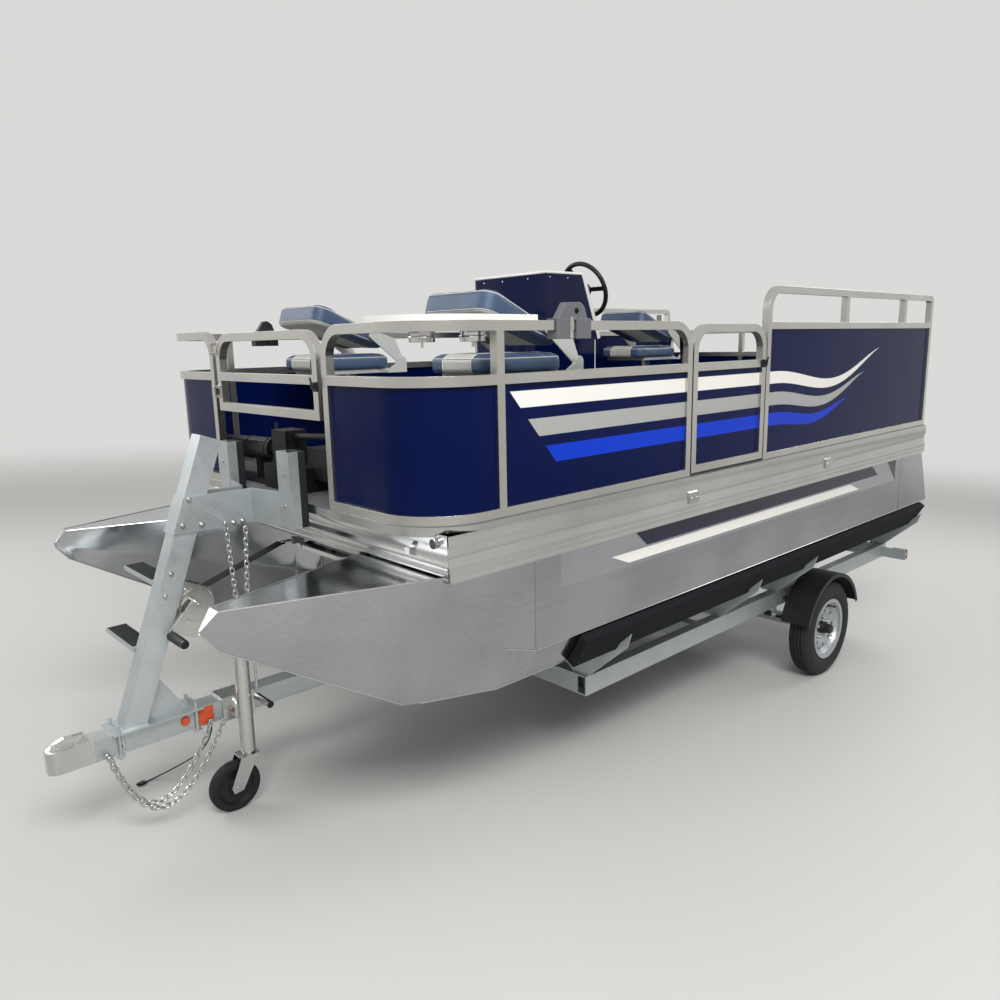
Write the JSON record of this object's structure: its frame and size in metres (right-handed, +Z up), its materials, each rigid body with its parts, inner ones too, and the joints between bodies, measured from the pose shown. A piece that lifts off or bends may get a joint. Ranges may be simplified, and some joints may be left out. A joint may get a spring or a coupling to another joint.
{
  "type": "pontoon boat on bunk trailer",
  "caption": "Small fishing pontoon boat with railed deck, gates, console and folding swivel seats, on a bunk trailer with winch post and jack wheel.",
  "frame": {"origin": "floor point under the middle of the boat and trailer", "axes": "+Y along the boat to its stern, +X to its port side, +Z up"},
  "size_m": [1.946, 4.9348, 2.3176],
  "materials": {
    "hull_aluminium": "bare sheet, mill finish with welded seams",
    "polished_aluminium": "polished extrusion",
    "fence_aluminium": "satin anodised tube",
    "deck": "plywood covered with grey carpet",
    "panel_paint": "glossy navy with white, grey and blue stripes",
    "console_plastic": "glossy navy shell with white trim",
    "black_plastic": "moulded, slightly grained",
    "vinyl": "slate blue and light grey marine vinyl with piping",
    "arm_plastic": "light grey moulded",
    "clamp_plastic": "moulded, grey and black",
    "pedestal": "satin",
    "galvanised": "hot dip galvanised steel",
    "carpet": "black needle felt over timber",
    "spring_steel": "black painted steel",
    "tyre": "moulded rubber",
    "rim": "galvanised pressed steel",
    "rubber": "moulded",
    "strap": "woven webbing",
    "zinc": "bright zinc plate",
    "lamp": "red lens in a black body",
    "tray": "white moulded",
    "chrome": "plated",
    "motor_grey": "grey enamel"
  },
  "bodies": {
    "boat_on_trailer": {"pontoon_port": "hull_aluminium", "pontoon_starboard": "hull_aluminium", "cross_members": "hull_aluminium", "deck_panel": "deck", "deck_edging": "polished_aluminium", "skirts": "polished_aluminium", "fence_port": "fence_aluminium", "fence_starboard": "fence_aluminium", "fence_stern": "fence_aluminium", "panels": "panel_paint", "console": "console_plastic", "seat_pedestals": "pedestal", "trailer_frame": "galvanised", "bunks": "carpet", "bunk_brackets": "galvanised", "leaf_springs": "spring_steel", "axle": "galvanised", "fenders": "black_plastic", "winch_post": "galvanised", "bow_stops": "galvanised", "bow_stop_pads": "rubber", "winch": "zinc", "winch_strap": "strap", "coupler": "zinc", "jack": "zinc", "tail_lamps": "lamp", "motor_bracket": "hull_aluminium", "ladder": "polished_aluminium", "serving_tray": "tray", "rail_clamps": "clamp_plastic", "deck_fittings": "chrome", "bow_motor": "motor_grey", "chains": "zinc", "wiring_lead": "rubber", "lead_plug": "rubber"},
    "side_gate": {"side_gate_frame": "fence_aluminium", "side_gate_panel": "panel_paint"},
    "bow_gate": {"bow_gate_frame": "fence_aluminium"},
    "helm_wheel": {"helm_wheel": "black_plastic"},
    "seat_port": {"seat_pan_port": "arm_plastic", "seat_cushion_port": "vinyl"},
    "back_port": {"seat_back_port": "vinyl", "seat_arms_port": "arm_plastic"},
    "seat_starboard": {"seat_pan_starboard": "arm_plastic", "seat_cushion_starboard": "vinyl"},
    "back_starboard": {"seat_back_starboard": "vinyl", "seat_arms_starboard": "arm_plastic"},
    "seat_helm": {"seat_pan_helm": "arm_plastic", "seat_cushion_helm": "vinyl"},
    "back_helm": {"seat_back_helm": "vinyl", "seat_arms_helm": "arm_plastic"},
    "wheel_port": {"tyre_port": "tyre", "rim_port": "rim", "hub_port": "black_plastic"},
    "wheel_starboard": {"tyre_starboard": "tyre", "rim_starboard": "rim", "hub_starboard": "black_plastic"},
    "caster_fork": {"caster_fork": "zinc"},
    "caster_wheel": {"caster_wheel": "black_plastic"},
    "bow_propeller": {"bow_propeller": "black_plastic"}
  },
  "joints": [
    {"name": "side_gate_hinge", "type": "hinge", "parent": "boat_on_trailer", "child": "side_gate", "pos_m": [0.91525, -0.32159, 1.52894], "axis": [0, -0.0552, 0.9985], "range_deg": [0, 95]},
    {"name": "bow_gate_hinge", "type": "hinge", "parent": "boat_on_trailer", "child": "bow_gate", "pos_m": [-0.4045, -1.6858, 1.60374], "axis": [0, 0.0552, -0.9985], "range_deg": [0, 120]},
    {"name": "helm_turn", "type": "hinge", "parent": "boat_on_trailer", "child": "helm_wheel", "pos_m": [-0.62, 0.8094, 2.15375], "axis": [0, 0.9079, 0.4192], "range_deg": [-540, 540]},
    {"name": "seat_swivel_port", "type": "hinge", "parent": "boat_on_trailer", "child": "seat_port", "pos_m": [0.554, -0.95026, 1.61436], "axis": [0, -0.0552, 0.9985], "continuous": true},
    {"name": "seat_back_hinge_port", "type": "hinge", "parent": "seat_port", "child": "back_port", "pos_m": [0.554, -0.78839, 1.67539], "axis": [-1, 0, 0], "range_deg": [0, 78]},
    {"name": "seat_swivel_starboard", "type": "hinge", "parent": "boat_on_trailer", "child": "seat_starboard", "pos_m": [-0.554, -0.95026, 1.61436], "axis": [0, -0.0552, 0.9985], "continuous": true},
    {"name": "seat_back_hinge_starboard", "type": "hinge", "parent": "seat_starboard", "child": "back_starboard", "pos_m": [-0.554, -0.78839, 1.67539], "axis": [-1, 0, 0], "range_deg": [0, 78]},
    {"name": "seat_swivel_helm", "type": "hinge", "parent": "boat_on_trailer", "child": "seat_helm", "pos_m": [-0.52, 1.32326, 1.74008], "axis": [0, -0.0552, 0.9985], "continuous": true},
    {"name": "seat_back_hinge_helm", "type": "hinge", "parent": "seat_helm", "child": "back_helm", "pos_m": [-0.52, 1.48514, 1.80111], "axis": [-1, 0, 0], "range_deg": [0, 78]},
    {"name": "wheel_spin_port", "type": "hinge", "parent": "boat_on_trailer", "child": "wheel_port", "pos_m": [0.869, 1.19957, 0.264], "axis": [1, 0, 0], "continuous": true},
    {"name": "wheel_spin_starboard", "type": "hinge", "parent": "boat_on_trailer", "child": "wheel_starboard", "pos_m": [-0.869, 1.19957, 0.264], "axis": [1, 0, 0], "continuous": true},
    {"name": "caster_swivel", "type": "hinge", "parent": "boat_on_trailer", "child": "caster_fork", "pos_m": [0.1, -1.81674, 0.20437], "axis": [0, -0.0552, 0.9985], "continuous": true},
    {"name": "caster_spin", "type": "hinge", "parent": "caster_fork", "child": "caster_wheel", "pos_m": [0.1, -1.87479, 0.095], "axis": [1, 0, 0], "continuous": true},
    {"name": "propeller_spin", "type": "hinge", "parent": "boat_on_trailer", "child": "bow_propeller", "pos_m": [-0.2504, -1.48549, 1.29933], "axis": [0.9781, 0.2076, 0.0115], "continuous": true}
  ]
}
